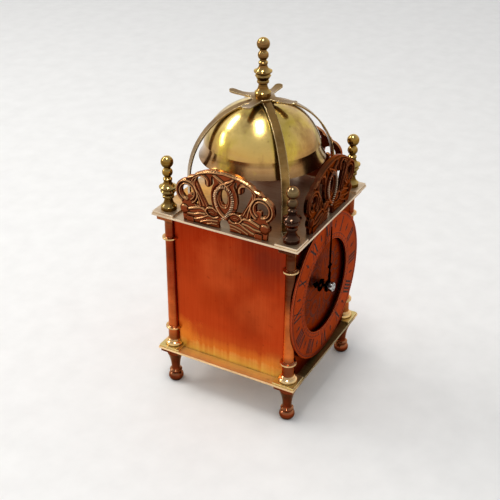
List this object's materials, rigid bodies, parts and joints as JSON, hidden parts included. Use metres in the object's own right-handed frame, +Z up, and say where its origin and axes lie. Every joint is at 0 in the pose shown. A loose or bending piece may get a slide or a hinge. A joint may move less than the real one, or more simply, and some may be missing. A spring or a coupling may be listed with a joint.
{
  "type": "lantern clock",
  "caption": "Small brass lantern clock: domed bell under crossed straps, pierced dolphin frets, turned corner columns, round chapter ring and two hands.",
  "frame": {"origin": "middle of the case on the surface that it stands on", "axes": "+Z up, the dial faces -Y, +X to the right as seen from the front"},
  "size_m": [0.086, 0.088, 0.2],
  "materials": {
    "pale_brass": "worn satin, pale grey-gold",
    "base_brass": "satin, tan-gold",
    "bright_brass": "polished",
    "copper_sheet": "brushed, copper-orange",
    "dial_copper": "satin with dark-filled engraving",
    "red_brass": "aged, bright on raised edges",
    "brown_bronze": "aged satin",
    "golden_brass": "polished with dark recesses",
    "dark_bronze": "dark patina",
    "dark_steel": "blackened",
    "steel": "bright",
    "spring_steel": "blued",
    "movement_brass": "fine brushed"
  },
  "bodies": {
    "case": {"balance_cock": "movement_brass", "base_plate": "base_brass", "bell": "bright_brass", "bell_hoop_lower": "brown_bronze", "bell_hoop_upper": "brown_bronze", "bell_nut": "golden_brass", "centre_finial": "golden_brass", "chapter_ring": "dial_copper", "click_spring": "spring_steel", "column_back_left": "golden_brass", "column_back_right": "golden_brass", "column_front_left": "golden_brass", "column_front_right": "golden_brass", "column_plinths": "base_brass", "dial_posts": "movement_brass", "finial_back_left": "golden_brass", "finial_back_right": "golden_brass", "finial_front_left": "golden_brass", "finial_front_right": "golden_brass", "finial_squares": "base_brass", "foot_back_left": "dark_bronze", "foot_back_right": "dark_bronze", "foot_front_left": "dark_bronze", "foot_front_right": "dark_bronze", "fret_front": "red_brass", "fret_left": "red_brass", "fret_right": "red_brass", "fret_screws": "steel", "front_plate": "dial_copper", "hairspring": "spring_steel", "left_panel": "copper_sheet", "movement_back_plate": "movement_brass", "movement_front_plate": "movement_brass", "movement_pillars": "movement_brass", "petal_star": "brown_bronze", "pillar_nuts": "steel", "right_panel": "copper_sheet", "top_plate": "pale_brass"},
    "minute_hand": {"cannon_pinion": "movement_brass", "minute_hand": "dark_steel", "hand_nut": "steel"},
    "minute_wheel": {"minute_wheel": "movement_brass"},
    "hour_hand": {"hour_wheel": "movement_brass", "hour_hand": "dark_steel"},
    "fourth_wheel": {"fourth_wheel": "movement_brass"},
    "third_wheel": {"third_wheel": "movement_brass"},
    "centre_wheel": {"centre_wheel": "movement_brass"},
    "intermediate_wheel": {"intermediate_wheel": "movement_brass"},
    "barrel": {"mainspring_barrel": "movement_brass", "mainspring": "spring_steel"},
    "escape_wheel": {"escape_wheel": "movement_brass"},
    "winding_key": {"barrel_arbor": "steel", "ratchet_wheel": "steel", "winding_key": "steel"},
    "click": {"click": "steel"},
    "pallet_lever": {"pallet_lever": "steel"},
    "balance_wheel": {"balance_wheel": "movement_brass"},
    "regulator": {"regulator": "spring_steel"},
    "back_door": {"back_door": "copper_sheet"},
    "door_latch": {"door_latch": "golden_brass"}
  },
  "joints": [
    {"name": "minute_hand_turn", "type": "hinge", "parent": "case", "child": "minute_hand", "pos_m": [0, -0.042, 0.0672], "axis": [0, 1, 0], "continuous": true},
    {"name": "minute_wheel_turn", "type": "hinge", "parent": "case", "child": "minute_wheel", "pos_m": [0.0048, -0.033, 0.05889], "axis": [0, 1, 0], "continuous": true},
    {"name": "hour_hand_turn", "type": "hinge", "parent": "case", "child": "hour_hand", "pos_m": [0, -0.041, 0.0672], "axis": [0, 1, 0], "continuous": true},
    {"name": "fourth_wheel_turn", "type": "hinge", "parent": "case", "child": "fourth_wheel", "pos_m": [-0.00305, -0.021, 0.08279], "axis": [0, 1, 0], "continuous": true},
    {"name": "third_wheel_turn", "type": "hinge", "parent": "case", "child": "third_wheel", "pos_m": [-0.00764, -0.021, 0.07484], "axis": [0, 1, 0], "continuous": true},
    {"name": "centre_wheel_turn", "type": "hinge", "parent": "case", "child": "centre_wheel", "pos_m": [0, -0.021, 0.0672], "axis": [0, 1, 0], "continuous": true},
    {"name": "intermediate_wheel_turn", "type": "hinge", "parent": "case", "child": "intermediate_wheel", "pos_m": [-0.00794, -0.021, 0.05742], "axis": [0, 1, 0], "continuous": true},
    {"name": "barrel_turn", "type": "hinge", "parent": "case", "child": "barrel", "pos_m": [0.008, -0.024, 0.0502], "axis": [0, 1, 0], "continuous": true},
    {"name": "escape_wheel_turn", "type": "hinge", "parent": "case", "child": "escape_wheel", "pos_m": [0.00456, -0.021, 0.08556], "axis": [0, 1, 0], "continuous": true},
    {"name": "winding", "type": "hinge", "parent": "case", "child": "winding_key", "pos_m": [0.008, -0.005, 0.0502], "axis": [0, 1, 0], "range_deg": [0, 1800]},
    {"name": "click_lift", "type": "hinge", "parent": "case", "child": "click", "pos_m": [0.00963, -0.0107, 0.05946], "axis": [0, -1, 0], "range_deg": [0, 12], "stiffness_Nm_per_rad": 0.0002},
    {"name": "pallet_rock", "type": "hinge", "parent": "case", "child": "pallet_lever", "pos_m": [0.00939, -0.021, 0.08471], "axis": [0, 1, 0], "range_deg": [-6, 6]},
    {"name": "balance_swing", "type": "hinge", "parent": "case", "child": "balance_wheel", "pos_m": [0.01727, -0.021, 0.08332], "axis": [0, 1, 0], "range_deg": [-135, 135], "stiffness_Nm_per_rad": 0.000002},
    {"name": "regulator_shift", "type": "hinge", "parent": "case", "child": "regulator", "pos_m": [0.01727, -0.0098, 0.08332], "axis": [0, 1, 0], "range_deg": [-25, 25]},
    {"name": "back_door_swing", "type": "hinge", "parent": "case", "child": "back_door", "pos_m": [0.028, 0.0357, 0.067], "axis": [0, 0, -1], "range_deg": [0, 110]},
    {"name": "door_latch_turn", "type": "hinge", "parent": "back_door", "child": "door_latch", "pos_m": [-0.022, 0.0352, 0.0982], "axis": [0, -1, 0], "range_deg": [0, 90]}
  ],
  "couplings": [
    {"joint": "minute_wheel_turn", "follows": "minute_hand_turn", "ratio": -0.33333},
    {"joint": "hour_hand_turn", "follows": "minute_hand_turn", "ratio": 0.083333},
    {"joint": "third_wheel_turn", "follows": "fourth_wheel_turn", "ratio": -0.13333},
    {"joint": "centre_wheel_turn", "follows": "fourth_wheel_turn", "ratio": 0.016667},
    {"joint": "intermediate_wheel_turn", "follows": "fourth_wheel_turn", "ratio": -0.0027778},
    {"joint": "barrel_turn", "follows": "fourth_wheel_turn", "ratio": 0.00046296},
    {"joint": "escape_wheel_turn", "follows": "fourth_wheel_turn", "ratio": -8}
  ]
}
